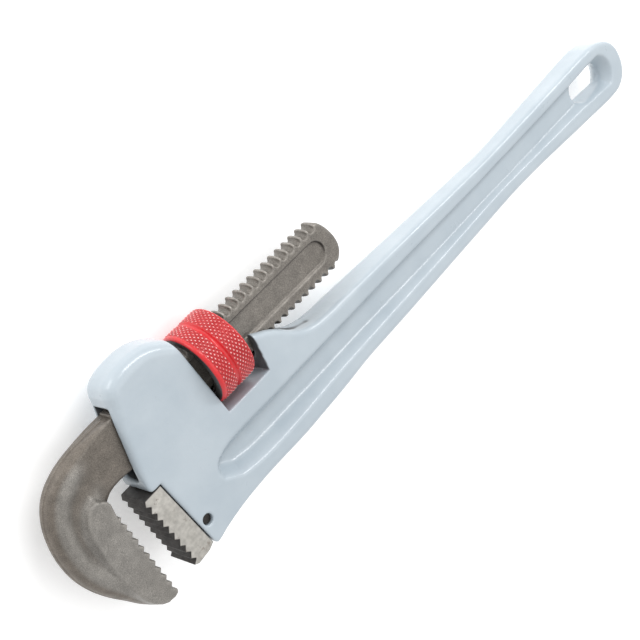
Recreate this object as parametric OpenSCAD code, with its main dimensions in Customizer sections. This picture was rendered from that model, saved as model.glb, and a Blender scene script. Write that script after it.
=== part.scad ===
// Adjustable pipe wrench, 18 inch class, with a cast aluminium handle.
// Lengths are in millimetres. +X runs along the handle from the jaws to the hanging end,
// +Y is the side that the hook jaw's shank stands on, and +Z is up as the wrench lies on its side.
// Every module below draws in the wrench's own frame, whose zero is the middle of the adjusting
// nut: X is the nut's axis. The last lines move that frame to the part's own origin.

/* [Adjusting nut] */
// Radius over the knurl
nut_r = 21.2; // [20:0.1:21.5]
// Length along the thread's axis
nut_len = 23.5; // [23:0.1:23.8]
// Radius of the groove between the two knurled bands
nut_groove_r = 19.6; // [19:0.1:20.5]
// Radius of the plain wall behind the thread's ridge
nut_bore_r = 14.65; // [14.6:0.01:14.75]

/* [Thread] */
// Distance between neighbouring thread grooves, left-handed, one start
pitch = 5.4; // [5.4:0.1:5.4]
// Radius over the crests left on the shank's two edges
crest_r = 14.35; // [14.2:0.01:14.4]
// Radius at the bottom of the grooves
root_r = 12.0; // [11.8:0.1:12.2]
// Width of a groove at its bottom
groove_floor = 1.7; // [1.6:0.1:1.8]
// Width of a groove at the crests
groove_mouth = 3.6; // [3.5:0.1:3.7]
// Free space between the nut's ridge and the groove, each side
thread_gap = 0.3; // [0.25:0.01:0.35]

/* [Hook jaw] */
// Thickness of the threaded shank
shank_t = 11.7; // [11.4:0.1:11.8]
// Distance from the nut's middle to the shank's rounded top end
shank_top = 95; // [92:0.5:96]
// Thickness of the toothed blade
blade_t = 19.4; // [18:0.1:20]
// Thickness of the bow round the back of the hook
bow_t = 15; // [13:0.1:16]
// Distance between neighbouring teeth of the hook
hook_tooth = 5.0; // [4.9:0.05:5.05]
// Depth of the hook's teeth
hook_tooth_h = 1.95; // [1.8:0.05:2.1]

/* [Heel jaw] */
// Width of the heel jaw across the wrench
heel_w = 21.7; // [21:0.1:22]
// Distance between neighbouring teeth of the heel jaw
heel_tooth = 4.75; // [4.7:0.05:4.8]
// Depth of the heel jaw's teeth
heel_tooth_h = 2.2; // [2:0.1:2.3]
// Thickness of the tenon that is pinned into the handle
tenon_t = 9; // [8:0.5:10]
// Radius of the cross pin
pin_r = 2.9; // [2.8:0.1:3]
// Depth that each end of the pin lies below the casting's side
pin_recess = 2.2; // [1.5:0.1:3]

/* [Handle] */
// Thickness of the housing round the jaw
housing_t = 24.4; // [24:0.1:25]
// Thickness over the handle's flanges at the hanging end
flange_t = 18.4; // [18:0.1:19]
// Thickness over the flanges where the hand grips them
grip_t = 14.0; // [13.5:0.1:15]
// Thickness of the handle's web
web_t = 6.6; // [6:0.1:8]
// Width of the shank's tunnel across the wrench
tunnel_t = 12.5; // [12.4:0.1:12.8]

/* [Springs] */
// Thickness of the leaf spring
leaf_t = 1.4; // [1.3:0.1:1.5]
// Radius over the coil spring
coil_r = 4.8; // [4.6:0.1:4.9]
// Diameter of the coil spring's wire
coil_wire = 1.3; // [1.2:0.1:1.4]

/* [Hidden] */
$fn = 64;

// Middle of the nut in the part's own frame: the box's lower face is its zero plane
nut_place = [-104.95, 21.4, nut_r];

// X of the nut's own middle: its upper end sets the zero, its lower end is a little short
nut_shift = 0.55;

// X of a groove's middle on the shank's front edge, and on its rear edge half a turn away
front_phase = 3.86;
rear_phase = front_phase - pitch / 2;
// Tilt of a groove, which is the thread's lead angle at its middle
lead_angle = atan(pitch / (PI * (crest_r + root_r)));
// Numbers of the first and last grooves, counted from the nut's middle
first_groove = -6;
last_front_groove = 15;
last_rear_groove = 16;

// Heel jaw: the first tooth's tip, and how far the tooth line leans from Y
heel_tip = [-74.5, -28.6];
heel_lean = 4.97;
heel_teeth = 9;
pin_at = [-52.8, -57.6];

// Hook: the first tooth's tip, and how far the tooth line leans from Y
hook_tip = [-86.2, -23.6];
hook_lean = 1.6;
hook_teeth = 10;

// Coil spring: X of its axis, and the bottom of its pocket
coil_x = -39;
pocket_bottom = -31;
leaf_front = -(crest_r + 0.3);
leaf_back = leaf_front - leaf_t;
rivet_head_t = 1.6;

// Hanging slot in the handle's end
slot_from = 293;
slot_to = 307.5;
slot_y = -47;
slot_r = 7.3;

// A smooth curve through the given points: each stretch is a cubic that leaves and
// arrives along the line between the neighbouring points
function blend(a, b, c, d, t) =
    0.5 * (2 * b + (c - a) * t + (2 * a - 5 * b + 4 * c - d) * t * t
           + (3 * b - a - 3 * c + d) * t * t * t);
function smooth(p, steps = 5) =
    [for (i = [0 : len(p) - 2]) for (s = [0 : steps - 1])
        blend(p[max(i - 1, 0)], p[i], p[i + 1], p[min(i + 2, len(p) - 1)], s / steps),
     p[len(p) - 1]];
// A round corner: points on an arc
function arc(centre, r, from, to, steps = 8) =
    [for (s = [0 : steps]) centre + r * [cos(from + (to - from) * s / steps),
                                         sin(from + (to - from) * s / steps)]];
// A row of saw teeth: tips from `start`, one every `step` along -Y, each cut `depth` deep
function saw(count, step, depth, side) =
    [for (i = [0 : count - 1]) each [[0, -step * i], [-side * depth, -step * (i + 0.43)]]];
// Points turned by an angle and moved
function placed(points, angle, at) =
    [for (p = points) at + [p[0] * cos(angle) - p[1] * sin(angle),
                            p[0] * sin(angle) + p[1] * cos(angle)]];

module slab(points, thickness) {
    translate([0, 0, -thickness / 2]) linear_extrude(thickness) polygon(points);
}

// ---- handle -------------------------------------------------------------------------------

handle_outline = concat(
    // mouth, from the heel jaw's seat up to the front corner
    smooth([[-61.7, -25.4], [-65.2, -21.5], [-66.6, -15], [-66, -7], [-64.4, 0.5],
            [-62.8, 8], [-61.2, 15], [-60, 20.5]]),
    // rounded front of the housing, up to the nut's window
    smooth([[-59.2, 25.5], [-56.8, 29.4], [-52.4, 32], [-46, 33.4], [-38, 33.8],
            [-30, 32.8], [-22, 29.4], [-15.4, 24.4]]),
    [[-13, 22.5], [19, -2]],
    // saddle, then the front of the handle
    smooth([[20.8, -3], [26, -5.9], [31, -8.6], [36, -12.2], [44, -19.6], [52, -24.2],
            [64, -26.6], [85, -27.4], [118, -28.7], [150, -30], [180, -31.2], [212, -32.2],
            [240, -31.5], [270, -30.4], [297, -29.4]]),
    // hanging end
    smooth([[308, -29.3], [317, -30.8], [324.6, -34.4], [329, -39.6], [330.4, -45.4], [330, -51.6],
            [327.8, -57.2], [323.8, -61.6], [317.6, -64.4], [308, -65]]),
    // back of the handle
    smooth([[290, -64.2], [270, -63.4], [245, -62.3], [218, -61.9], [180, -62.6], [150, -63.1],
            [110, -64], [75, -64.3], [50, -66], [17, -66.6], [-12, -66], [-30, -66.6],
            [-44, -68.6], [-52, -70.6]]),
    [[-55, -71], [-56.3, -69.6]]
);

// Side of the casting: thick at the housing, thinnest where the hand grips it
module casting_sides() {
    half = housing_t / 2;
    end = flange_t / 2;
    grip = grip_t / 2;
    side = concat([[-70, half], [6, half]],
                  smooth([[12, half], [30, half - 0.8], [52, end + 1.2], [78, end + 0.8],
                          [112, end - 0.2], [150, grip + 1.3], [185, grip + 0.5], [212, grip],
                          [238, grip + 0.6], [262, end - 1], [288, end - 0.3], [304, end]]),
                  [[340, end]]);
    below = [for (i = [len(side) - 1 : -1 : 0]) [side[i][0], -side[i][1]]];
    rotate([90, 0, 0]) translate([0, 0, -60]) linear_extrude(160) polygon(concat(side, below));
}

// Recess beside the web, between the two flanges
recess_outline = concat(
    smooth([[-33, -49.5], [-34.6, -44], [-31, -38.4], [-24, -35.6], [-14, -35], [4, -36.4],
            [24, -38], [60, -38.8], [100, -39.4], [150, -39.8], [212, -40.2], [262, -39.4],
            [298, -36.8]]),
    arc([307.5, slot_y], 11.5, 62, -62, 12),
    smooth([[298, -56.9], [262, -55.6], [212, -54.6], [150, -55.6], [100, -56.4], [59, -57],
            [17, -57.6], [-8, -57.4], [-22, -55.8]])
);

module shank_tunnel() {
    slab([[-80, -20.8], [-8, -17.4], [-8, crest_r + 0.35], [-34, crest_r + 0.35],
          [-50, 18.4], [-57, 19.4], [-80, 23.6]], tunnel_t);
}

// Open on the front, its lower side leans so that the jaw can rock
module nut_window() {
    slab([[-11.5, -24], [18.8, -24], [21.4, -1], [21.4, 60], [-19.5, 60]], 40);
}

module saddle_trough() {
    width = tunnel_t;
    floor_y = -17.6;
    slab([[15, floor_y + width / 2], [60, floor_y + width / 2], [60, 30], [15, 30]], width);
    translate([15, floor_y + width / 2, 0]) rotate([0, 90, 0]) cylinder(r = width / 2, h = 45);
}

module heel_seat() {
    slab([[-80, -24.9], [-61.85, -24.9], [-56.3, -70.8], [-56.3, -90], [-80, -90]], 40);
    slab([[-70, -30.7], [-44.6, -30.7], [-44.6, -65.5], [-70, -65.5]], tenon_t + 0.4);
}

module handle() {
    color("lightsteelblue") difference() {
        intersection() {
            slab(handle_outline, housing_t);
            casting_sides();
        }
        for (side = [-1, 1])
            translate([0, 0, side * (web_t + 30) / 2]) slab(recess_outline, 30);
        slab(concat(arc([slot_from, slot_y], slot_r, 90, 270), arc([slot_to, slot_y], slot_r, -90, 90)),
             40);
        shank_tunnel();
        nut_window();
        saddle_trough();
        heel_seat();
        translate([pin_at[0], pin_at[1], -20]) cylinder(r = pin_r, h = 40);
        translate([coil_x, pocket_bottom, 0]) rotate([-90, 0, 0]) cylinder(r = coil_r + 0.7, h = 14);
    }
}

// ---- hook jaw -----------------------------------------------------------------------------

tooth_line = placed(saw(hook_teeth, hook_tooth, hook_tooth_h, 1), hook_lean, hook_tip);

blade_outline = concat(
    [[-86.8, -14.8], [-87.8, -22.2]], tooth_line,
    [[-84.8, -73.6], [-85.2, -75.4], [-88, -76.6], [-91.4, -76.2]],
    smooth([[-95.6, -73], [-100, -68], [-102.6, -60], [-103.2, -50], [-103, -37], [-102.2, -24],
            [-100.6, -16.4], [-97.4, -12], [-93, -10.2], [-89.4, -11]])
);

bow_outline = concat(
    smooth([[-86.6, -18.4], [-84, -15.6], [-80, -13.4], [-76, -12.4], [-70, -12]]),
    [[-67, -12], [-67, 16.2]],
    smooth([[-84, 16.2], [-92, 15.2], [-99, 13], [-105.4, 9.8], [-111.8, 4], [-117.2, -5.4],
            [-120.2, -18], [-120.2, -31], [-117.6, -42], [-112.6, -52.6], [-105.5, -63],
            [-97.2, -72.6], [-92, -76.2]]),
    [[-88.2, -75], [-88.8, -26]]
);

shank_outline = concat(
    [[-68, -12.4], [-30, -12.8], [-27, -crest_r], [shank_top - 9.6, -crest_r]],
    smooth([[shank_top - 6.6, -12.6], [shank_top - 3.6, -10.4], [shank_top - 1.3, -7.6],
            [shank_top, -4], [shank_top, 0.2], [shank_top - 1, 4.4], [shank_top - 2.6, 8.6],
            [shank_top - 4.8, 12.2]]),
    [[shank_top - 7, crest_r], [-30, crest_r], [-52, crest_r + 0.2], [-62, 16], [-68, 16.2]]
);

// Cutter of one groove over one edge of the shank, tilted by the lead angle
module groove(x, edge) {
    translate([x, 0, 0]) rotate([0, -edge * lead_angle, 0]) rotate([0, 90, 0])
        rotate([0, 0, edge > 0 ? 45 : -135])
            rotate_extrude(angle = 90)
                polygon([[root_r, -groove_floor / 2], [crest_r, -groove_mouth / 2],
                         [crest_r + 2, -groove_mouth / 2], [crest_r + 2, groove_mouth / 2],
                         [crest_r, groove_mouth / 2], [root_r, groove_floor / 2]]);
}

// Long shallow panel on each side of the shank
module shank_panel() {
    end_r = 7.6;
    outline = concat(arc([shank_top - 16.4, 0.4], end_r, -90, 90), arc([-10, 0.4], end_r, 90, 270));
    for (side = [-1, 1])
        translate([0, 0, side * (shank_t / 2 + 4.1)]) slab(outline, 10);
}

module hook_jaw() {
    color("dimgray") difference() {
        union() {
            intersection() {
                slab(shank_outline, shank_t);
                rotate([0, 90, 0]) union() {
                    translate([0, 0, -70]) cylinder(r = 30, h = 43);
                    translate([0, 0, -40]) cylinder(r = crest_r, h = 140);
                }
            }
            slab(bow_outline, shank_t);
            intersection() {
                slab(bow_outline, bow_t);
                slab([[-130, 30], [-88, 30], [-82, -13], [-82, -90], [-130, -90]], bow_t);
            }
            slab(blade_outline, blade_t);
        }
        for (i = [first_groove : last_front_groove]) groove(front_phase + i * pitch, 1);
        for (i = [first_groove : last_rear_groove]) groove(rear_phase + i * pitch, -1);
        shank_panel();
    }
}

// ---- adjusting nut ------------------------------------------------------------------------

// The ridge inside the nut: its section follows the left-handed helix of the shank's grooves
ridge_turns = 3.6;
ridge_steps = 36;
ridge_tip_r = root_r + thread_gap;
function ridge_section() =
    let (floor_half = groove_floor / 2 - thread_gap * 0.75,
         mouth_half = groove_mouth / 2 - thread_gap)
    [[ridge_tip_r, -floor_half], [ridge_tip_r, floor_half],
     [nut_bore_r + 0.4, mouth_half], [nut_bore_r + 0.4, -mouth_half]];
function ridge_ring(turn) =
    [for (p = ridge_section())
        [front_phase - pitch * turn + p[1], p[0] * cos(360 * turn), p[0] * sin(360 * turn)]];

module thread_ridge() {
    count = ceil(ridge_turns * ridge_steps);
    first_turn = (front_phase - ridge_turns * pitch / 2) / pitch;
    points = [for (i = [0 : count]) each ridge_ring(first_turn + i / ridge_steps)];
    sides = [for (i = [0 : count - 1]) for (k = [0 : 3])
                let (a = 4 * i + k, b = 4 * i + (k + 1) % 4)
                each [[b, a, b + 4], [b + 4, a, a + 4]]];
    polyhedron(points, concat([[0, 1, 2, 3]], sides,
                              [[4 * count + 3, 4 * count + 2, 4 * count + 1, 4 * count]]));
}

module adjusting_nut() {
    half = nut_len / 2;
    chamfer = 1.1;
    color("crimson") {
        translate([nut_shift, 0, 0]) rotate([0, 90, 0]) rotate_extrude()
            polygon([[nut_bore_r, -half + 1], [nut_bore_r + 1.4, -half], [nut_r - chamfer, -half],
                     [nut_r - 0.5, -half + chamfer], [nut_r - 0.5, -half + 3.2],
                     [nut_r, -half + 3.9], [nut_r, -1.5 - nut_shift], [nut_groove_r, -0.8 - nut_shift],
                     [nut_groove_r, 0.8 - nut_shift], [nut_r, 1.5 - nut_shift], [nut_r, half - chamfer],
                     [nut_r - chamfer, half], [nut_bore_r + 1.4, half], [nut_bore_r, half - 1]]);
        thread_ridge();
    }
}

// ---- heel jaw and its pin -----------------------------------------------------------------

heel_outline = concat(
    [[-62.2, -25.7], [-73.2, -25.9]],
    placed(saw(heel_teeth, heel_tooth, heel_tooth_h, -1), heel_lean, heel_tip),
    [[-71.6, -70.4], [-69, -71.8], [-60.8, -71], [-56.9, -69.2]]
);

module heel_jaw() {
    color("silver") difference() {
        union() {
            slab(heel_outline, heel_w);
            slab([[-64, -31], [-45, -31], [-45, -65.2], [-64, -65.2]], tenon_t);
        }
        translate([pin_at[0], pin_at[1], -20]) cylinder(r = pin_r, h = 40);
    }
}

module heel_jaw_pin() {
    half = housing_t / 2 - pin_recess;
    color("gray") translate([pin_at[0], pin_at[1], 0]) rotate_extrude()
        polygon([[0, -half], [pin_r - 0.5, -half], [pin_r, -half + 0.5], [pin_r, half - 0.5],
                 [pin_r - 0.5, half], [0, half]]);
}

// ---- springs ------------------------------------------------------------------------------

module leaf_spring() {
    width = 9.6;
    color("slategray") difference() {
        slab([[-58, leaf_front - 0.5], [-54, leaf_front], [-18, leaf_front], [-18, leaf_back],
              [-54, leaf_back], [-58, leaf_back - 0.5]], width);
        translate([coil_x, leaf_back - 1, 0]) rotate([-90, 0, 0]) cylinder(r = 1.6, h = 5);
    }
}

module spring_rivet() {
    color("darkgray") translate([coil_x, 0, 0]) rotate([-90, 0, 0]) rotate_extrude()
        polygon([[0, leaf_back - rivet_head_t], [2.2, leaf_back - rivet_head_t],
                 [2.8, leaf_back - rivet_head_t + 0.6], [2.8, leaf_back - 0.02],
                 [1.55, leaf_back - 0.02], [1.55, leaf_front - 0.1], [0, leaf_front - 0.1]]);
}

// Round wire wound about Y between the pocket's bottom and the leaf spring
coil_turns = 5;
coil_steps = 18;
coil_sides = 8;
module coil_spring() {
    wire_r = coil_wire / 2;
    mean_r = coil_r - wire_r;
    low = pocket_bottom + wire_r + 0.05;
    high = leaf_back - wire_r - 0.05;
    count = coil_turns * coil_steps;
    points = [for (i = [0 : count]) let (a = 360 * i / coil_steps, y = low + (high - low) * i / count)
                for (k = [0 : coil_sides - 1]) let (b = 360 * k / coil_sides, r = mean_r + wire_r * cos(b))
                    [coil_x + r * cos(a), y + wire_r * sin(b), r * sin(a)]];
    sides = [for (i = [0 : count - 1]) for (k = [0 : coil_sides - 1])
                let (a = coil_sides * i + k, b = coil_sides * i + (k + 1) % coil_sides)
                each [[a, b, b + coil_sides], [a, b + coil_sides, a + coil_sides]]];
    start_cap = [for (k = [coil_sides - 1 : -1 : 0]) k];
    end_cap = [for (k = [0 : coil_sides - 1]) coil_sides * count + k];
    color("slategray") polyhedron(points, concat([start_cap], sides, [end_cap]));
}

translate(nut_place) handle();
translate(nut_place) hook_jaw();
translate(nut_place) adjusting_nut();
translate(nut_place) heel_jaw();
translate(nut_place) heel_jaw_pin();
translate(nut_place) leaf_spring();
translate(nut_place) coil_spring();
translate(nut_place) spring_rivet();
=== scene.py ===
"""Looks of the adjustable pipe wrench: the cast handle, the forged hook jaw, the heel jaw and the
knurled nut are meshed from distance functions and surface formulas, in millimetres counted from the
middle of the adjusting nut, and then moved to the frame in metres."""
import math

import bpy
import numpy as np
from mathutils import Matrix, Vector


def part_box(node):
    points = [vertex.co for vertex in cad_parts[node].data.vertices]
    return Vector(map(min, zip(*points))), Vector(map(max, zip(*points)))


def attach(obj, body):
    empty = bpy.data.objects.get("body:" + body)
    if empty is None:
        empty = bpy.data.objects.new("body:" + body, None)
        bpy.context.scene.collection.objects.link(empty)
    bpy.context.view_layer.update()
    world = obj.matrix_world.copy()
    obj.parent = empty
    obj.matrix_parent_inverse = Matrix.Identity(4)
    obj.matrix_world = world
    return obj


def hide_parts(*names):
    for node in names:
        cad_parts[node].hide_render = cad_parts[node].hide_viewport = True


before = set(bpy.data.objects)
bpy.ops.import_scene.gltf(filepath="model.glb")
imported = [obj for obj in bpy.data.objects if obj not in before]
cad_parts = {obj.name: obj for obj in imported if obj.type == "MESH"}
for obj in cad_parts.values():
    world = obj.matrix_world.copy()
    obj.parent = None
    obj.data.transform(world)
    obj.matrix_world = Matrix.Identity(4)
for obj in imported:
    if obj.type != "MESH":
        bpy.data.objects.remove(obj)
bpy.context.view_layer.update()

MM = 0.001
low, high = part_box("adjusting_nut")
NUT_SHIFT = 0.55
# The zero of every measure below: on the nut's axis, half a millimetre from the nut's middle
NUT = np.array(low + high) / 2 / MM - np.array([NUT_SHIFT, 0, 0])

# Sizes shared with the CAD, in millimetres
PITCH = 5.4
CREST_R = 14.35
ROOT_R = 12.0
FRONT_PHASE = 3.86
SHANK_HALF = 5.85
NUT_R = 21.2
NUT_LOW = -11.2
NUT_HIGH = 12.3
BORE_R = 14.65
HOUSING_HALF = 12.2
TUNNEL_HALF = 6.25
WEB_HALF = 3.3
BLADE_HALF = 9.7
HEEL_HALF = 10.85
PIN_AT = (-52.8, -57.6)
SLOT_FROM = (293, -47)
SLOT_TO = (307.5, -47)
SLOT_R = 7.3
COIL_X = -39
COIL_POCKET_R = 5.5
COIL_POCKET_BOTTOM = -31
PIN_R = 2.9
TENON_HALF = 4.5
WINDOW_WALL = (18.8, -24)

# Details that differ from the CAD or that only the looks have, in millimetres
TROUGH_Y = -11.3
WINDOW_LEAN = 0.113
PANEL_END = (79, 0.4)
PANEL_R = 7
PANEL_DEPTH = 1.4
THREAD_FROM = -30
KNURL_STEP = 2.05
KNURL_LEAN = 0.62
KNURL_DEPTH = 0.75
PULL_ROUNDS = 2


# ---- outlines ------------------------------------------------------------------------------------

def smooth(points, steps=6):
    """A Catmull-Rom curve through the points."""
    p = np.array(points, float)
    p = np.vstack([p[:1], p, p[-1:]])
    out = []
    for a, b, c, d in zip(p[:-3], p[1:-2], p[2:-1], p[3:]):
        for t in np.arange(steps) / steps:
            out.append(0.5 * (2 * b + (c - a) * t + (2 * a - 5 * b + 4 * c - d) * t * t
                              + (3 * b - a - 3 * c + d) * t ** 3))
    out.append(p[-1])
    return np.array(out)


def arc(centre, radius, start, end, steps=12):
    """Points on an arc, its angles in degrees."""
    turn = np.radians(np.linspace(start, end, steps + 1))
    return np.array(centre) + radius * np.stack([np.cos(turn), np.sin(turn)], 1)


def outline(*parts):
    """One closed outline from its stretches."""
    return np.vstack([np.array(part, float).reshape(-1, 2) for part in parts])


def saw_teeth(tip, count, step, depth, lean, side):
    """A row of saw teeth that starts at a tip and runs along -Y, leaning by an angle."""
    points = np.array([[side * depth * a, -step * (i + s)]
                       for i in range(count) for s, a in ((0, 0), (0.43, -1))])
    turn = math.radians(lean)
    spin = np.array([[math.cos(turn), math.sin(turn)], [-math.sin(turn), math.cos(turn)]])
    return np.array(tip) + points @ spin


HANDLE_OUTLINE = outline(
    [(-61.7, -25.4)],
    smooth([(-65, -25.6), (-67.6, -24.8), (-68.3, -22), (-67.6, -15), (-66.1, -7), (-64.4, 0.5),
            (-62.8, 8), (-61.2, 15), (-60, 20.5)]),
    smooth([(-59.2, 25.5), (-56.8, 29.4), (-52.4, 32), (-46, 33.4), (-38, 33.8),
            (-30, 32.8), (-22, 29.4), (-15.4, 24.4)]),
    [(-13, 22.5), (19, -2)],
    smooth([(20.8, -3), (26, -5.9), (31, -8.6), (36, -12.2), (44, -19.6), (52, -24.2),
            (64, -26.6), (85, -27.4), (118, -28.7), (150, -30), (180, -31.2), (212, -32.2),
            (240, -31.5), (270, -30.4), (297, -29.4)]),
    smooth([(308, -29.3), (317, -30.8), (324.6, -34.4), (329, -39.6), (330.4, -45.4), (330, -51.6),
            (327.8, -57.2), (323.8, -61.6), (317.6, -64.4), (308, -65)]),
    smooth([(290, -64.2), (270, -63.4), (245, -62.3), (218, -61.9), (180, -62.6), (150, -63.1),
            (110, -64), (75, -64.3), (50, -66), (17, -66.6), (-12, -66), (-30, -66.6),
            (-44, -68.6), (-52, -70.6)]),
    [(-55, -71), (-56.3, -69.6)])
RECESS_OUTLINE = outline(
    smooth([(-34.6, -50), (-36, -44), (-32.4, -38), (-24, -34.8), (-14, -33.8), (4, -33.8),
            (24, -34.4), (60, -35.4), (100, -36), (150, -37), (200, -38.2), (250, -37.2),
            (290, -35.6), (302, -35)]),
    arc(SLOT_TO, 13, 66, -60),
    smooth([(302, -57.2), (290, -56.4), (250, -55.6), (200, -54.9), (150, -56), (100, -56.6),
            (60, -57.2), (17, -58.6), (-8, -58.6), (-24, -56.4)]))
TUNNEL_OUTLINE = outline([(-90, -21.2), (-8, -17.4), (-8, 14.7), (-34, 14.7), (-50, 18.4),
                          (-57, 19.6), (-90, 24)])
WINDOW_OUTLINE = outline([(-11.5, -24), WINDOW_WALL, (21.4, -1), (21.4, 70), (-20.5, 70)])
SEAT_OUTLINE = outline([(-90, -24.9), (-61.85, -24.9), (-56.3, -70.8), (-54.8, -90), (-90, -90)])
TENON_OUTLINE = outline([(-80, -30.7), (-44.6, -30.7), (-44.6, -65.5), (-80, -65.5)])
SLOT_OUTLINE = outline(arc(SLOT_FROM, SLOT_R, 90, 270), arc(SLOT_TO, SLOT_R, -90, 90))
THICKNESS = np.array([(-70, HOUSING_HALF), (8, HOUSING_HALF), (20, 11.9), (35, 11), (52, 10.3),
                      (78, 9.9), (112, 9), (150, 8.3), (185, 7.5), (212, 7), (238, 7.6), (262, 8.2),
                      (288, 8.9), (304, 9.2), (340, 9.2)]).T

BOW_OUTLINE = outline(
    [(-94, -24)], smooth([(-90.5, -21.4), (-87.4, -18.6), (-84, -15.6), (-80, -13.4), (-74, -12.4),
                          (-66, -12.4)]),
    [(THREAD_FROM, -12.8), (-27, -CREST_R), (85.4, -CREST_R)],
    smooth([(88.4, -12.6), (91.4, -10.4), (93.7, -7.6), (94.9, -4), (94.9, 0.2), (94, 4.4),
            (92.4, 8.6), (90.2, 12.2), (88, CREST_R)]),
    [(THREAD_FROM, CREST_R), (-46, CREST_R + 0.3)],
    smooth([(-60, 16), (-72, 16.4), (-84, 16.2), (-92, 15.2), (-99, 13), (-105.4, 9.8),
            (-111.8, 4), (-117.2, -5.4), (-120.2, -18), (-120.2, -31), (-117.6, -42),
            (-112.6, -52.6), (-105.5, -63), (-97.2, -72.6), (-92, -76.2)]),
    [(-91, -74), (-94, -66)])
HOOK_TEETH = saw_teeth((-86.2, -23.6), 10, 5.0, 1.95, 1.6, 1)
BLADE_OUTLINE = outline(
    [(-86.4, -14.8), (-87.6, -22.6)], HOOK_TEETH,
    [(-84.8, -73.6), (-85.6, -75.2), (-88, -75.9), (-92, -75.4)],
    smooth([(-95.4, -73.4), (-99, -68.8), (-101, -64), (-102.6, -54), (-103.2, -42.5),
            (-103.1, -32), (-102.4, -22.8), (-100.6, -14.8), (-97.6, -10.4), (-93.4, -8.8),
            (-89.6, -10), (-87, -12.4)]))
PANEL_OUTLINE = outline(arc(PANEL_END, PANEL_R, -90, 90),
                        arc((-30, PANEL_END[1]), PANEL_R, 90, 270))
HEEL_OUTLINE = outline(
    [(-62.2, -25.7), (-73.2, -25.9)],
    saw_teeth((-74.5, -28.6), 9, 4.75, 2.2, 4.97, -1),
    [(-71.6, -70.4), (-69, -71.8), (-60.8, -71), (-56.9, -69.2)])
HEEL_TENON = outline([(-66, -31), (-45, -31), (-45, -65.2), (-66, -65.2)])


# ---- distance functions --------------------------------------------------------------------------

def signed_distance(points, x, y):
    """Distance in the plane to a closed outline, negative inside."""
    best = np.full(x.shape, 1e9)
    inside = np.zeros(x.shape, bool)
    for (ax, ay), (bx, by) in zip(points, np.roll(points, -1, 0)):
        ex, ey = bx - ax, by - ay
        length = max(ex * ex + ey * ey, 1e-12)
        t = np.clip(((x - ax) * ex + (y - ay) * ey) / length, 0, 1)
        best = np.minimum(best, (x - ax - t * ex) ** 2 + (y - ay - t * ey) ** 2)
        if ay != by:
            cross = ((ay > y) != (by > y)) & (x < ax + (y - ay) * ex / ey)
            inside ^= cross
    return np.where(inside, -1, 1) * np.sqrt(best)


class PlanField:
    """Signed distance to an outline, worked out once on a fine grid and read between its points."""

    def __init__(self, points, low, high, step=0.4):
        self.low, self.step = np.array(low, float), step
        count = np.ceil((np.array(high) - self.low) / step).astype(int) + 2
        x = self.low[0] + step * np.arange(count[0])
        y = self.low[1] + step * np.arange(count[1])
        self.grid = signed_distance(points, *np.meshgrid(x, y, indexing="ij"))

    def __call__(self, x, y):
        u = (x - self.low[0]) / self.step
        v = (y - self.low[1]) / self.step
        i = np.clip(u.astype(int), 0, self.grid.shape[0] - 2)
        j = np.clip(v.astype(int), 0, self.grid.shape[1] - 2)
        s, t = np.clip(u - i, 0, 1), np.clip(v - j, 0, 1)
        g = self.grid
        return ((g[i, j] * (1 - s) + g[i + 1, j] * s) * (1 - t)
                + (g[i, j + 1] * (1 - s) + g[i + 1, j + 1] * s) * t)


def join_max(a, b, k):
    """The larger of two distances, rounded over a width k: a cut or a common part."""
    blend = np.maximum(k - np.abs(a - b), 0) / k
    return np.maximum(a, b) + blend * blend * k / 4


def join_min(a, b, k):
    """The smaller of two distances, rounded over a width k: a sum with a fillet."""
    return -join_max(-a, -b, k)


def plate(plan, z, half, r):
    """A plate of an outline with edges rounded by radius r."""
    a, b = plan + r, np.abs(z) - half + r
    return np.minimum(np.maximum(a, b), 0) + np.hypot(np.maximum(a, 0), np.maximum(b, 0)) - r


def ease(x, start, end):
    """0 up to the start and 1 from the end, with a smooth step between."""
    t = np.clip((x - start) / (end - start), 0, 1)
    return t * t * (3 - 2 * t)


# ---- meshing -------------------------------------------------------------------------------------

def evaluate(shape, axes, slab=24):
    """The shape's distance at every grid point, a few slices at a time."""
    x, y, z = axes
    parts = [shape(x[i:i + slab, None, None], y[None, :, None], z[None, None, :]).astype(np.float32)
             for i in range(0, len(x), slab)]
    return np.concatenate(parts)


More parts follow.
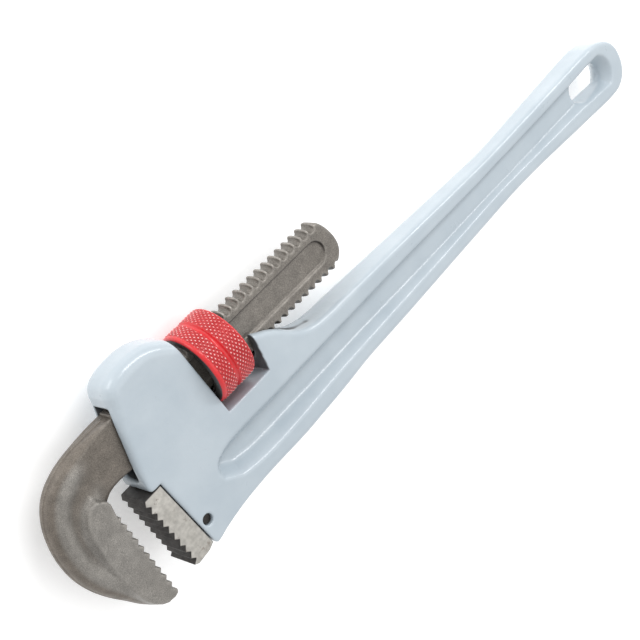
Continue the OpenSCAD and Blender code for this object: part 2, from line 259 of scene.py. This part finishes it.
def surface_nets(values):
    """Vertices, in grid units, and quads of the surface where the values change sign."""
    corners = [(i, j, k) for i in (0, 1) for j in (0, 1) for k in (0, 1)]
    size = np.array(values.shape) - 1
    inside = values < 0

    def view(a, c):
        return a[c[0]:c[0] + size[0], c[1]:c[1] + size[1], c[2]:c[2] + size[2]]

    count = sum(view(inside, c).astype(np.int8) for c in corners)
    active = (count > 0) & (count < 8)
    cells = np.argwhere(active)
    at = {c: values[tuple((cells + c).T)] for c in corners}
    total = np.zeros((len(cells), 3))
    hits = np.zeros(len(cells))
    for a in corners:
        for axis in range(3):
            if a[axis]:
                continue
            b = tuple(v + (n == axis) for n, v in enumerate(a))
            va, vb = at[a].astype(float), at[b].astype(float)
            crossing = (va < 0) != (vb < 0)
            t = np.where(crossing, va / np.where(crossing, va - vb, 1), 0)
            point = np.array(a, float) + t[:, None] * (np.array(b) - np.array(a))
            total += point * crossing[:, None]
            hits += crossing
    vertices = cells + total / hits[:, None]
    ids = np.full(active.shape, -1, np.int32)
    ids[active] = np.arange(len(cells))
    quads = []
    for axis in range(3):
        u, v = (axis + 1) % 3, (axis + 2) % 3
        first = [slice(1, -1)] * 3
        second = [slice(1, -1)] * 3
        first[axis], second[axis] = slice(0, -1), slice(1, None)
        starts, ends = inside[tuple(first)], inside[tuple(second)]
        for entering in (False, True):
            spots = np.argwhere((starts == entering) & (ends != entering))
            spots += 1
            spots[:, axis] -= 1
            ring = []
            for du, dv in ((-1, -1), (0, -1), (0, 0), (-1, 0)):
                cell = spots.copy()
                cell[:, u] += du
                cell[:, v] += dv
                ring.append(ids[tuple(cell.T)])
            quad = np.stack(ring, 1)
            quads.append(quad if entering else quad[:, ::-1])
    return vertices, np.vstack(quads)


def slopes(shape, p, h=0.04):
    """Distance and its gradient at points."""
    here = shape(p[:, 0], p[:, 1], p[:, 2])
    grad = np.stack([shape(*(p + h * np.eye(3)[n]).T) - here for n in range(3)], 1) / h
    return here, grad


def smooth_over(values, quads, count, rounds):
    """Averages a value over neighbouring vertices."""
    a = np.concatenate([quads[:, n] for n in range(4)])
    b = np.concatenate([quads[:, (n + 1) % 4] for n in range(4)])
    degree = np.bincount(a, minlength=count) + np.bincount(b, minlength=count)
    for _ in range(rounds):
        total = (np.bincount(a, values[b], count) + np.bincount(b, values[a], count))
        values = 0.5 * values + 0.5 * total / np.maximum(degree, 1)
    return values


def bend_of(vertices, quads, normals, step):
    """How much the surface bends at each vertex: above 0 on an edge, below 0 in a corner."""
    count = len(vertices)
    mean = np.stack([smooth_over(vertices[:, n], quads, count, 1) for n in range(3)], 1)
    bend = -((mean - vertices) * normals).sum(1) / step
    return smooth_over(bend, quads, count, 2)


def mesh_object(name, points_mm, faces, values=None):
    """A Blender object of points in millimetres from the nut, with named values per vertex."""
    points = ((np.asarray(points_mm) + NUT) * MM).astype(np.float32)
    faces = np.asarray(faces, np.int32)
    mesh = bpy.data.meshes.new(name)
    mesh.vertices.add(len(points))
    mesh.vertices.foreach_set("co", points.ravel())
    mesh.loops.add(faces.size)
    mesh.loops.foreach_set("vertex_index", faces.ravel())
    mesh.polygons.add(len(faces))
    mesh.polygons.foreach_set("loop_start", np.arange(len(faces), dtype=np.int32) * faces.shape[1])
    mesh.polygons.foreach_set("use_smooth", np.full(len(faces), True))
    for key, data in (values or {}).items():
        layer = mesh.attributes.new(key, "FLOAT", "POINT")
        layer.data.foreach_set("value", np.asarray(data, np.float32))
    mesh.update()
    mesh.validate()
    obj = bpy.data.objects.new(name, mesh)
    bpy.context.scene.collection.objects.link(obj)
    return obj


def carve(name, shape, low, high, step, extra=None):
    """Meshes the surface of a distance function, pulled onto its exact zero."""
    low = np.array(low, float)
    count = np.ceil((np.array(high) - low) / step).astype(int) + 1
    axes = [low[n] + step * np.arange(count[n]) for n in range(3)]
    vertices, quads = surface_nets(evaluate(shape, axes))
    points = low + step * vertices
    for _ in range(PULL_ROUNDS):
        here, grad = slopes(shape, points)
        pull = here[:, None] * grad / np.maximum((grad ** 2).sum(1), 0.25)[:, None]
        reach = np.maximum(np.linalg.norm(pull, axis=1), 1e-9)
        points -= pull * np.minimum(1, 0.45 * step / reach)[:, None]
    _, grad = slopes(shape, points)
    normals = grad / np.maximum(np.linalg.norm(grad, axis=1), 1e-9)[:, None]
    values = {"bend": bend_of(points, quads, normals, step)}
    for key, rule in (extra or {}).items():
        values[key] = rule(*points.T)
    return mesh_object(name, points, quads, values)


# ---- shapes --------------------------------------------------------------------------------------

def trough_middle(x):
    """Y of the middle of the trough that frees the shank: it dips and runs out on the handle."""
    return TROUGH_Y - 0.31 * np.clip(x - 30, 0, 27)


def handle_shape():
    """The casting: an I-section handle with the housing's cuts."""
    low, high = (-72, -76), (336, 40)
    body = PlanField(HANDLE_OUTLINE, low, high)
    recess = PlanField(RECESS_OUTLINE, low, high)
    window = PlanField(WINDOW_OUTLINE, low, high)
    tunnel = PlanField(TUNNEL_OUTLINE, low, high)
    seat = PlanField(SEAT_OUTLINE, low, high)
    tenon = PlanField(TENON_OUTLINE, low, high)
    slot = PlanField(SLOT_OUTLINE, low, high)

    def shape(x, y, z):
        half = np.interp(x, *THICKNESS)
        # the housing's front is well rounded, the handle's rims less
        front = ease(y, 4, 24) * (1 - ease(x, -20, 10))
        mouth = (1 - ease(x, -64, -44)) * ease(y, -26, -14)
        heel_end = (1 - ease(y, -60, -34)) * (1 - ease(x, -40, 10))
        lip = (1 - ease(y, -22, -8)) * (1 - ease(x, -62, -54))
        rim = 3.4 + 4.0 * front + 1.2 * mouth * (1 - front) - 2.2 * np.maximum(heel_end, 0.6 * lip)
        f = plate(body(x, y), z, half, rim)
        # recess down to the web, its walls as wide as they are deep
        drop = half - WEB_HALF
        f = join_max(f, 0.62 * (np.abs(z) - half + drop * ease(-recess(x, y), 0, drop)), 0.9)
        f = join_max(f, -slot(x, y), 2.2)
        # tunnel of the shank, with the round sides of its U
        f = join_max(f, -plate(tunnel(x, y), z, TUNNEL_HALF, 4.2 - 3.6 * ease(x, -64, -60)), 1.2)
        trough = np.hypot(np.minimum(y - trough_middle(x), 0), z) - TUNNEL_HALF
        trough = np.maximum(trough, 15 - x)
        f = join_max(f, -trough, 1.0)
        f = join_max(f, -window(x, y), 0.9)
        f = join_max(f, -seat(x, y), 0.5)
        f = np.maximum(f, -plate(tenon(x, y), z, TENON_HALF + 0.2, 0.3))
        hole = np.hypot(x - PIN_AT[0], y - PIN_AT[1]) - PIN_R - 0.03
        f = join_max(f, -hole, 0.9)
        pocket = np.maximum(np.hypot(x - COIL_X, z) - COIL_POCKET_R, COIL_POCKET_BOTTOM - y)
        return np.maximum(f, -np.maximum(pocket, y + 17))

    return shape


def machined_metal_and_shade():
    """1 where the casting is machined after painting: window wall, trough and tunnel; the near-black
    bare metal put there is also painted shade.
    """
    tunnel = PlanField(TUNNEL_OUTLINE, (-72, -76), (336, 40))

    def rule(x, y, z):
        off_wall = np.abs(x - WINDOW_WALL[0] - WINDOW_LEAN * (y - WINDOW_WALL[1]))
        wall = (1 - ease(off_wall, 0.25, 0.5)) * ease(-y, -4, -1) * ease(y, -24.5, -23)
        trough = (1 - ease(np.hypot(np.minimum(y - trough_middle(x), 0), z), 6.3, 6.6)) \
            * ease(x, 14, 15)
        bore = (1 - ease(tunnel(x, y), 0.2, 0.5)) * (1 - ease(np.abs(z), 6.3, 6.7)) \
            * ease(x, -67, -66)
        return np.clip(wall + trough + bore, 0, 1)

    return rule


def hook_shape():
    """The forging: bow with a rib, toothed blade, and the shank threaded on both edges."""
    low, high = (-124, -80), (98, 20)
    bow = PlanField(BOW_OUTLINE, low, high, 0.3)
    blade = PlanField(BLADE_OUTLINE, low, high, 0.2)
    panel = PlanField(PANEL_OUTLINE, low, high)

    def shape(x, y, z):
        # rounding: little along the machined shank, much round the forged bow and its rib
        plan = bow(x, y) + 0.45
        forged = 1 - ease(x, -92, -60)
        rib = (1 - ease(x, -98, -80)) * np.exp(-((plan + 7.5) / 4.2) ** 2)
        f = plate(plan, z, SHANK_HALF + 2.0 * rib, 0.8 + 4.4 * forged)
        # flash line left by the forging dies
        f = f - 0.4 * (1 - ease(np.abs(z), 0.9, 1.5)) * (1 - ease(x, -66, -58)) \
            * (np.abs(plan) < 1.6)
        f = np.where(x > -60, plate(bow(x, y), z, SHANK_HALF, 0.7 + 0.9 * ease(x, 82, 90)), f)
        # toothed blade with a wide fillet round its foot
        block = join_max(blade(x, y), np.abs(z) - BLADE_HALF, 1.3)
        f = join_min(f, block, 1.5 + 5.0 * (1 - ease(x, -92, -88.6)))
        f = np.maximum(f, -76.5 - y)
        # thread on both edges of the shank
        rho = np.hypot(y, z)
        threaded = ease(x, THREAD_FROM, -27)
        f = np.where(threaded > 0, join_max(f, rho - CREST_R, 0.9), f)
        turn = np.arctan2(z, y) / (2 * math.pi)
        along = x - FRONT_PHASE + PITCH * turn
        along = along - PITCH * np.round(along / PITCH)
        cut = np.hypot(along, np.minimum(rho - CREST_R + 0.28, 0)) - (CREST_R - 0.28 - ROOT_R)
        ends = np.maximum(THREAD_FROM + 0.5 - x, x - np.where(y > 0, 87.3, 90))
        cut = np.maximum(cut, ends)
        f = join_max(f, -cut, 0.45)
        # long shallow panel on each flat
        dish = join_max(panel(x, y) + 0.9 * np.maximum(SHANK_HALF - np.abs(z), 0) * ease(-y, 0, 4),
                        SHANK_HALF - PANEL_DEPTH - np.abs(z), 0.5)
        return join_max(f, -dish, 0.35)

    return shape


def panel_edge_shade(x, y, z):
    """1 along the sharp upper edge of the shank's panel: a painted shade line where the panel's step
    wall lies in shade.
    """
    edge = 1 - ease(np.abs(y - 7.4), 0.2, 0.7)
    end = 1 - ease(np.abs(np.hypot(x - PANEL_END[0], y - PANEL_END[1]) - PANEL_R), 0.2, 0.7)
    line = np.where(x < PANEL_END[0], edge, end * ease(y, -3, 3))
    return line * ease(np.abs(z), 3.5, 4.2) * ease(x, -20, -18)


def height(x, y, z):
    """0 in the valleys of the forged hook and 1 on its ribs and flats."""
    return np.where(x < -60, ease(np.abs(z), 5.4, 7.4), 0.55)


def heel_shape():
    """The toothed block with its tenon."""
    low, high = (-78, -76), (-42, -22)
    head = PlanField(HEEL_OUTLINE, low, high, 0.15)
    tenon = PlanField(HEEL_TENON, low, high, 0.2)

    def shape(x, y, z):
        f = plate(head(x, y), z, HEEL_HALF, 0.45)
        f = np.minimum(f, plate(tenon(x, y), z, TENON_HALF, 0.3))
        hole = np.hypot(x - PIN_AT[0], y - PIN_AT[1]) - PIN_R - 0.05
        return np.maximum(f, -hole)

    return shape


# ---- adjusting nut -------------------------------------------------------------------------------

def nut_profile():
    """(X, radius, knurl depth) round the nut's section, from the lower bore over the outside."""
    low, high = NUT_LOW, NUT_HIGH
    points = [(low + 0.9, BORE_R, 0), (low, BORE_R + 1.3, 0)]
    points += [(low, r, 0) for r in np.linspace(16.6, 19.5, 6)]
    points += [(low + 0.1, 19.8, 0), (low + 0.35, 20.25, 0), (low + 0.8, 20.6, 0),
               (low + 1.4, 20.75, 0), (low + 1.9, 20.75, 0)]
    points += [(x, NUT_R, min(1, (x - low - 2.0) / 0.6, (-1.25 - x) / 0.5))
               for x in np.arange(low + 2.05, -1.3, 0.2)]
    points += [(-1.15, NUT_R - 0.75, 0), (-0.85, 19.8, 0), (-0.5, 19.62, 0), (0, 19.6, 0),
               (0.5, 19.62, 0), (0.85, 19.8, 0), (1.15, NUT_R - 0.75, 0)]
    points += [(x, NUT_R, min(1, (x - 1.25) / 0.5, (high - 0.9 - x) / 0.5))
               for x in np.arange(1.35, high - 1.0, 0.2)]
    points += [(high - 0.8, NUT_R - 0.55, 0), (high - 0.4, NUT_R - 0.95, 0),
               (high - 0.1, NUT_R - 1.5, 0)]
    points += [(high, r, 0) for r in np.linspace(NUT_R - 2.2, 16.6, 6)]
    points += [(high, BORE_R + 1.3, 0), (high - 0.9, BORE_R, 0)]
    points += [(x, BORE_R, 0) for x in np.linspace(high - 2.5, low + 2.5, 14)]
    return np.array(points)


def knurl(x, turn):
    """Height of a diamond knurl: 0 in its grooves, 1 on the tips."""
    around = turn * NUT_R
    a = np.abs(((x + around * KNURL_LEAN) / KNURL_STEP) % 1 - 0.5) * 2
    b = np.abs(((x - around * KNURL_LEAN) / KNURL_STEP) % 1 - 0.5) * 2
    return np.clip(np.minimum(a, b) * 1.15, 0, 1)


def adjusting_nut():
    """The nut's section turned about X, with the knurl on its two bands."""
    profile = nut_profile()
    rows = len(profile)
    turns = 900
    turn = 2 * math.pi * np.arange(turns) / turns
    # whole diamonds round the nut: the knurl's step is stretched to fit
    girth = 2 * math.pi * NUT_R * KNURL_LEAN
    fit = round(girth / KNURL_STEP) * KNURL_STEP / girth
    x = profile[:, 0][None, :] + 0 * turn[:, None]
    tip = knurl(x, turn[:, None] * fit)
    amount = np.clip(profile[:, 2][None, :], 0, 1)
    radius = profile[:, 1][None, :] - amount * KNURL_DEPTH * (1 - tip) \
        - 0.45 * (profile[:, 2][None, :] != 0) * (1 - amount)
    points = np.stack([x, radius * np.cos(turn)[:, None], radius * np.sin(turn)[:, None]], 2)
    i = np.arange(turns)[:, None]
    j = np.arange(rows)[None, :]
    quad = [i * rows + j, i * rows + (j + 1) % rows, (i + 1) % turns * rows + (j + 1) % rows,
            (i + 1) % turns * rows + j]
    faces = np.stack([np.broadcast_to(q, (turns, rows)).ravel() for q in quad], 1)
    crest_wear_and_glint = (ease(tip, 0.66, 0.98) * amount).ravel()
    groove = ((1 - tip) * amount).ravel()
    painted = ((radius > 18.4) & (x > NUT_LOW + 0.05) & (x < NUT_HIGH - 0.02)).ravel()
    return mesh_object("nut_ring", points.reshape(-1, 3), faces,
                       {"crest_wear_and_glint": crest_wear_and_glint, "groove": groove, "painted": painted})


def nut_thread():
    """The ridge that runs in the shank's grooves."""
    crown = ROOT_R + 0.3
    foot = BORE_R + 0.3
    section = [(crown + 0.15, 0.25), (crown, 0), (crown + 0.15, -0.25), (ROOT_R + 1.0, -0.85),
               (foot, -1.45), (foot, 1.45), (ROOT_R + 1.0, 0.85)]
    span = 3.6
    steps = int(span * 96)
    first = (FRONT_PHASE - span * PITCH / 2) / PITCH
    turn = first + span * np.arange(steps + 1) / steps
    points = []
    for t in turn:
        fade = min(1, (t - first) * 6, (turn[-1] - t) * 6)
        for r, w in section:
            r = max(r, foot - (foot - crown) * max(fade, 0.02))
            points.append((FRONT_PHASE - PITCH * t + w, r * math.cos(2 * math.pi * t),
                           r * math.sin(2 * math.pi * t)))
    n = len(section)
    i = np.arange(steps)[:, None]
    j = np.arange(n)[None, :]
    quad = [i * n + j, (i + 1) * n + j, (i + 1) * n + (j + 1) % n, i * n + (j + 1) % n]
    faces = np.stack([np.broadcast_to(q, (steps, n)).ravel() for q in quad], 1)
    return mesh_object("nut_thread", points, faces)


# ---- materials -----------------------------------------------------------------------------------

class Shader:
    """A small helper round one material's node tree."""

    def __init__(self, name, roughness, metallic=0.0, **sockets):
        self.material = bpy.data.materials.new(name)
        self.material.use_nodes = True
        self.tree = self.material.node_tree
        self.bsdf = self.tree.nodes["Principled BSDF"]
        self.bsdf.inputs["Roughness"].default_value = roughness
        self.bsdf.inputs["Metallic"].default_value = metallic
        for key, value in sockets.items():
            self.bsdf.inputs[key.replace("_", " ")].default_value = value
        self.place = self.tree.nodes.new("ShaderNodeTexCoord").outputs["Object"]

    def link(self, source, target):
        self.tree.links.new(source, target)

    def noise(self, scale, detail=4.0, rough=0.55, stretch=None):
        node = self.tree.nodes.new("ShaderNodeTexNoise")
        node.inputs["Scale"].default_value = scale
        node.inputs["Detail"].default_value = detail
        node.inputs["Roughness"].default_value = rough
        place = self.place
        if stretch:
            mapping = self.tree.nodes.new("ShaderNodeMapping")
            mapping.inputs["Scale"].default_value = stretch
            self.link(place, mapping.inputs["Vector"])
            place = mapping.outputs["Vector"]
        self.link(place, node.inputs["Vector"])
        return node.outputs["Fac"]

    def value_of(self, attribute):
        node = self.tree.nodes.new("ShaderNodeAttribute")
        node.attribute_name = attribute
        return node.outputs["Fac"]

    def ramp(self, source, *stops):
        node = self.tree.nodes.new("ShaderNodeValToRGB")
        elements = node.color_ramp.elements
        while len(elements) < len(stops):
            elements.new(0.5)
        for element, (at, colour) in zip(elements, stops):
            element.position = at
            colour = colour if isinstance(colour, tuple) else (colour,) * 3
            element.color = (*colour, 1)
        self.link(source, node.inputs["Fac"])
        return node.outputs["Color"]

    def math(self, kind, a, b):
        node = self.tree.nodes.new("ShaderNodeMath")
        node.operation = kind
        for socket, value in zip(node.inputs, (a, b)):
            if isinstance(value, (int, float)):
                socket.default_value = value
            else:
                self.link(value, socket)
        return node.outputs[0]

    def mix(self, amount, a, b, kind="MIX"):
        node = self.tree.nodes.new("ShaderNodeMix")
        node.data_type = "RGBA"
        node.blend_type = kind
        for socket, value in ((node.inputs["Factor"], amount), (node.inputs[6], a),
                              (node.inputs[7], b)):
            if isinstance(value, (int, float)):
                socket.default_value = value
            elif isinstance(value, tuple):
                socket.default_value = (*value, 1)
            else:
                self.link(value, socket)
        return node.outputs[2]

    def colour(self, source):
        self.link(source, self.bsdf.inputs["Base Color"])

    def roughness(self, source):
        self.link(source, self.bsdf.inputs["Roughness"])

    def bump(self, *layers):
        """Layers of (height, distance in metres), one on another."""
        normal = None
        for height, distance in layers:
            node = self.tree.nodes.new("ShaderNodeBump")
            node.inputs["Distance"].default_value = distance
            node.inputs["Strength"].default_value = 1.0
            self.link(height, node.inputs["Height"])
            if normal:
                self.link(normal, node.inputs["Normal"])
            normal = node.outputs["Normal"]
        self.link(normal, self.bsdf.inputs["Normal"])


def painted_casting():
    s = Shader("painted_casting", 0.3, Coat_Weight=0.6, Coat_Roughness=0.16)
    tone = s.ramp(s.noise(38, 3), (0.35, (0.40, 0.462, 0.51)), (0.65, (0.44, 0.50, 0.545)))
    # painted shade: the paint darkens towards grey in creases and hollows, broken up by noise
    corner = s.math("MULTIPLY", s.math("SUBTRACT", 0.0, s.value_of("bend")), 5.0)
    crease_shade = s.math("MULTIPLY", corner, s.noise(160, 4))
    tone = s.mix(s.math("MINIMUM", s.math("MAXIMUM", crease_shade, 0.0), 0.3), tone, (0.17, 0.19, 0.21))
    speck = s.ramp(s.noise(900, 2), (0.72, 0.0), (0.76, 1.0))
    tone = s.mix(s.math("MULTIPLY", speck, 0.25), tone, (0.25, 0.26, 0.27))
    # machined areas: bare metal, painted near-black so that it also stands in for the shade in the
    # window, trough and tunnel
    bare_with_painted_light = s.value_of("bare_with_painted_light")
    bare_metal_in_shade = s.ramp(s.noise(300, 4), (0.3, (0.045, 0.05, 0.055)), (0.7, (0.09, 0.097, 0.105)))
    s.colour(s.mix(bare_with_painted_light, tone, bare_metal_in_shade))
    s.roughness(s.mix(bare_with_painted_light, s.ramp(s.noise(90, 5), (0.3, 0.27), (0.7, 0.38)), (0.5, 0.5, 0.5)))
    s.bump((s.noise(260, 4), 0.00012), (s.noise(45, 3), 0.0004))
    return s.material


def forged_steel():
    s = Shader("forged_steel", 0.5, 0.5)
    # ribs and flats lighter, valleys darker: partly worn steel and oxide, partly painted light and
    # shade
    low = s.ramp(s.noise(26, 3), (0.3, (0.135, 0.115, 0.096)), (0.7, (0.17, 0.148, 0.124)))
    high = s.ramp(s.noise(30, 3), (0.3, (0.225, 0.212, 0.192)), (0.7, (0.28, 0.266, 0.245)))
    tone = s.mix(s.value_of("height"), low, high)
    grain = s.ramp(s.noise(2200, 3, 0.6), (0.32, 0.62), (0.68, 1.3))
    tone = s.mix(1.0, tone, grain, "MULTIPLY")
    blotch = s.ramp(s.noise(150, 5), (0.38, 0.88), (0.62, 1.08))
    tone = s.mix(1.0, tone, blotch, "MULTIPLY")
    # convex edges lighter: partly worn steel, partly a painted highlight
    edge = s.math("MULTIPLY", s.value_of("bend"), 7.0)
    edge_wear_and_highlight = s.math("MULTIPLY", s.math("MINIMUM", s.math("MAXIMUM", edge, 0.0), 1.0), s.noise(300, 3))
    tone = s.mix(edge_wear_and_highlight, tone, (0.56, 0.53, 0.49))
    # painted shade: near-black in the forging's creases and hollows
    corner = s.math("MULTIPLY", s.math("SUBTRACT", 0.0, s.value_of("bend")), 5.0)
    dark = s.math("MINIMUM", s.math("MAXIMUM", corner, 0.0), 0.8)
    tone = s.mix(dark, tone, (0.03, 0.024, 0.02))
    # painted shade: a near-black line along the upper edge of the shank's panel
    tone = s.mix(s.math("MULTIPLY", s.value_of("panel_edge_shade"), 0.85), tone, (0.02, 0.016, 0.013))
    s.colour(tone)
    s.roughness(s.ramp(s.noise(240, 5), (0.3, 0.38), (0.7, 0.55)))
    s.bump((s.noise(2400, 2), 0.00006), (s.noise(500, 4), 0.00014))
    return s.material


def ground_steel():
    s = Shader("ground_steel", 0.4, 0.7)
    tone = s.ramp(s.noise(60, 5), (0.3, (0.42, 0.405, 0.37)), (0.7, (0.56, 0.54, 0.5)))
    streak = s.ramp(s.noise(380, 5), (0.35, 0.82), (0.65, 1.08))
    tone = s.mix(1.0, tone, streak, "MULTIPLY")
    spots = s.ramp(s.noise(330, 3), (0.62, 0.0), (0.7, 0.6))
    tone = s.mix(spots, tone, (0.2, 0.165, 0.14))
    geometry = s.tree.nodes.new("ShaderNodeNewGeometry")
    split = s.tree.nodes.new("ShaderNodeSeparateXYZ")
    s.link(geometry.outputs["Normal"], split.inputs[0])
    side = s.math("POWER", s.math("ABSOLUTE", split.outputs["Z"], 0.0), 6.0)
    dark = s.ramp(s.noise(240, 4), (0.3, (0.055, 0.052, 0.05)), (0.7, (0.11, 0.104, 0.1)))
    s.colour(s.mix(side, dark, tone))
    s.roughness(s.ramp(s.noise(300, 4), (0.3, 0.36), (0.7, 0.52)))
    s.bump((s.noise(500, 3, stretch=(0.12, 3.0, 1.0)), 0.00005), (s.noise(260, 4), 0.00008))
    return s.material


def nut_paint():
    s = Shader("nut_paint", 0.3, 0.0, Coat_Weight=0.3, Coat_Roughness=0.15)
    red = s.ramp(s.noise(70, 4), (0.3, (0.56, 0.008, 0.012)), (0.7, (0.68, 0.014, 0.02)))
    # painted shade: the red darkens in the knurl's grooves
    red = s.mix(s.math("MULTIPLY", s.value_of("groove"), 0.7), red, (0.3, 0.0, 0.002))
    # knurl tips: partly worn to bare metal, partly a painted pinkish-white glint
    bare_with_painted_light = s.math("MULTIPLY", s.value_of("crest_wear_and_glint"), s.ramp(s.noise(160, 3), (0.35, 0.3), (0.6, 0.95)))
    red = s.mix(bare_with_painted_light, red, (0.9, 0.72, 0.7))
    black = s.ramp(s.noise(200, 4), (0.3, (0.012, 0.011, 0.01)), (0.7, (0.03, 0.027, 0.024)))
    s.colour(s.mix(s.value_of("painted"), black, red))
    s.roughness(s.ramp(s.noise(150, 4), (0.3, 0.25), (0.7, 0.4)))
    s.bump((s.noise(420, 3), 0.00006),)
    return s.material


def plain_steel(name, dark, light, roughness):
    s = Shader(name, roughness, 0.85)
    s.colour(s.ramp(s.noise(180, 5), (0.3, dark), (0.7, light)))
    s.roughness(s.ramp(s.noise(350, 4), (0.3, roughness - 0.06), (0.7, roughness + 0.1)))
    s.bump((s.noise(600, 3), 0.00004),)
    return s.material


def floor_material():
    """A light table: the floor glows a little, so that shadows stay pale."""
    s = Shader("studio_floor", 0.6, Emission_Color=(1, 1, 1, 1), Emission_Strength=0.25)
    s.colour(s.ramp(s.noise(3, 2), (0.3, (0.95, 0.95, 0.95)), (0.7, (0.96, 0.96, 0.96))))
    return s.material


# ---- pieces --------------------------------------------------------------------------------------

def settle(piece, body, node, material):
    """Gives a piece its material and its body, and hides the CAD node that it stands for."""
    piece.data.materials.append(material)
    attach(piece, body)
    if node:
        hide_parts(node)


settle(carve("handle_casting", handle_shape(), (-70, -74.2, -13.2), (334, 37, 13.2), 0.62,
             extra={"bare_with_painted_light": machined_metal_and_shade()}),
       "handle", "handle", painted_casting())
settle(carve("hook_forging", hook_shape(), (-122.6, -78.8, -11), (97, 18.6, 11), 0.46,
             extra={"panel_edge_shade": panel_edge_shade, "height": height}),
       "hook_jaw", "hook_jaw", forged_steel())
settle(carve("heel_block", heel_shape(), (-77, -74, -12), (-43.5, -24, 12), 0.3),
       "handle", "heel_jaw", ground_steel())
nut_material = nut_paint()
settle(adjusting_nut(), "nut", "adjusting_nut", nut_material)
settle(nut_thread(), "nut", None, nut_material)

spring_steel = plain_steel("spring_steel", (0.1, 0.1, 0.11), (0.2, 0.2, 0.21), 0.35)
# pin and rivet steel: dark steel, painted darker still as the shade of the hole that the pin sits in
pin_steel = plain_steel("pin_steel", (0.02, 0.018, 0.017), (0.07, 0.065, 0.06), 0.5)
for node, material in (("leaf_spring", spring_steel), ("coil_spring", spring_steel),
                       ("spring_rivet", pin_steel), ("heel_jaw_pin", pin_steel)):
    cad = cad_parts[node]
    cad.data.materials.clear()
    cad.data.materials.append(material)


# ---- studio --------------------------------------------------------------------------------------

def studio_floor():
    half = 6.0
    mesh = bpy.data.meshes.new("studio_floor")
    mesh.from_pydata([(-half, -half, 0), (half, -half, 0), (half, half, 0), (-half, half, 0)], [],
                     [(0, 1, 2, 3)])
    floor = bpy.data.objects.new("studio_floor", mesh)
    bpy.context.scene.collection.objects.link(floor)
    floor.data.materials.append(floor_material())


def camera():
    """The photo's view: its three directions are the camera's right, up and back."""
    data = bpy.data.cameras.new("camera")
    data.sensor_width = 36.0
    data.lens = 84.45
    data.clip_end = 30
    obj = bpy.data.objects.new("camera", data)
    bpy.context.scene.collection.objects.link(obj)
    right = Vector((0.62483, -0.46475, 0.62737))
    up = Vector((0.64429, 0.76078, -0.07811))
    back = Vector((-0.44098, 0.45302, 0.7748))
    place = Vector((NUT + np.array([-277.24, 319.87, 601.07])) * MM)
    turn = Matrix((right, up, back)).transposed().to_4x4()
    obj.matrix_world = Matrix.Translation(place) @ turn
    bpy.context.scene.camera = obj
    return right, up, back


def area_light(name, place, size, power, target=(0, 0, 0.02)):
    data = bpy.data.lights.new(name, "AREA")
    data.shape = "RECTANGLE"
    data.size, data.size_y = size
    data.energy = power
    obj = bpy.data.objects.new(name, data)
    bpy.context.scene.collection.objects.link(obj)
    aim = Vector(target) - Vector(place)
    obj.rotation_euler = aim.to_track_quat("-Z", "Y").to_euler()
    obj.location = place


studio_floor()
right, up, back = camera()
area_light("key", 0.5 * right + 0.85 * up + 0.7 * back, (1.1, 0.13), 7)
area_light("side", -0.9 * right + 0.6 * up + 0.95 * back, (0.7, 0.7), 5)
area_light("fill", 1.1 * right + 0.1 * up + 1.0 * back, (0.8, 1.0), 2)
world = bpy.data.worlds.new("studio")
world.use_nodes = True
world.node_tree.nodes["Background"].inputs["Color"].default_value = (1, 1, 1, 1)
world.node_tree.nodes["Background"].inputs["Strength"].default_value = 0.88
bpy.context.scene.world = world
bpy.context.scene.view_settings.view_transform = "Standard"
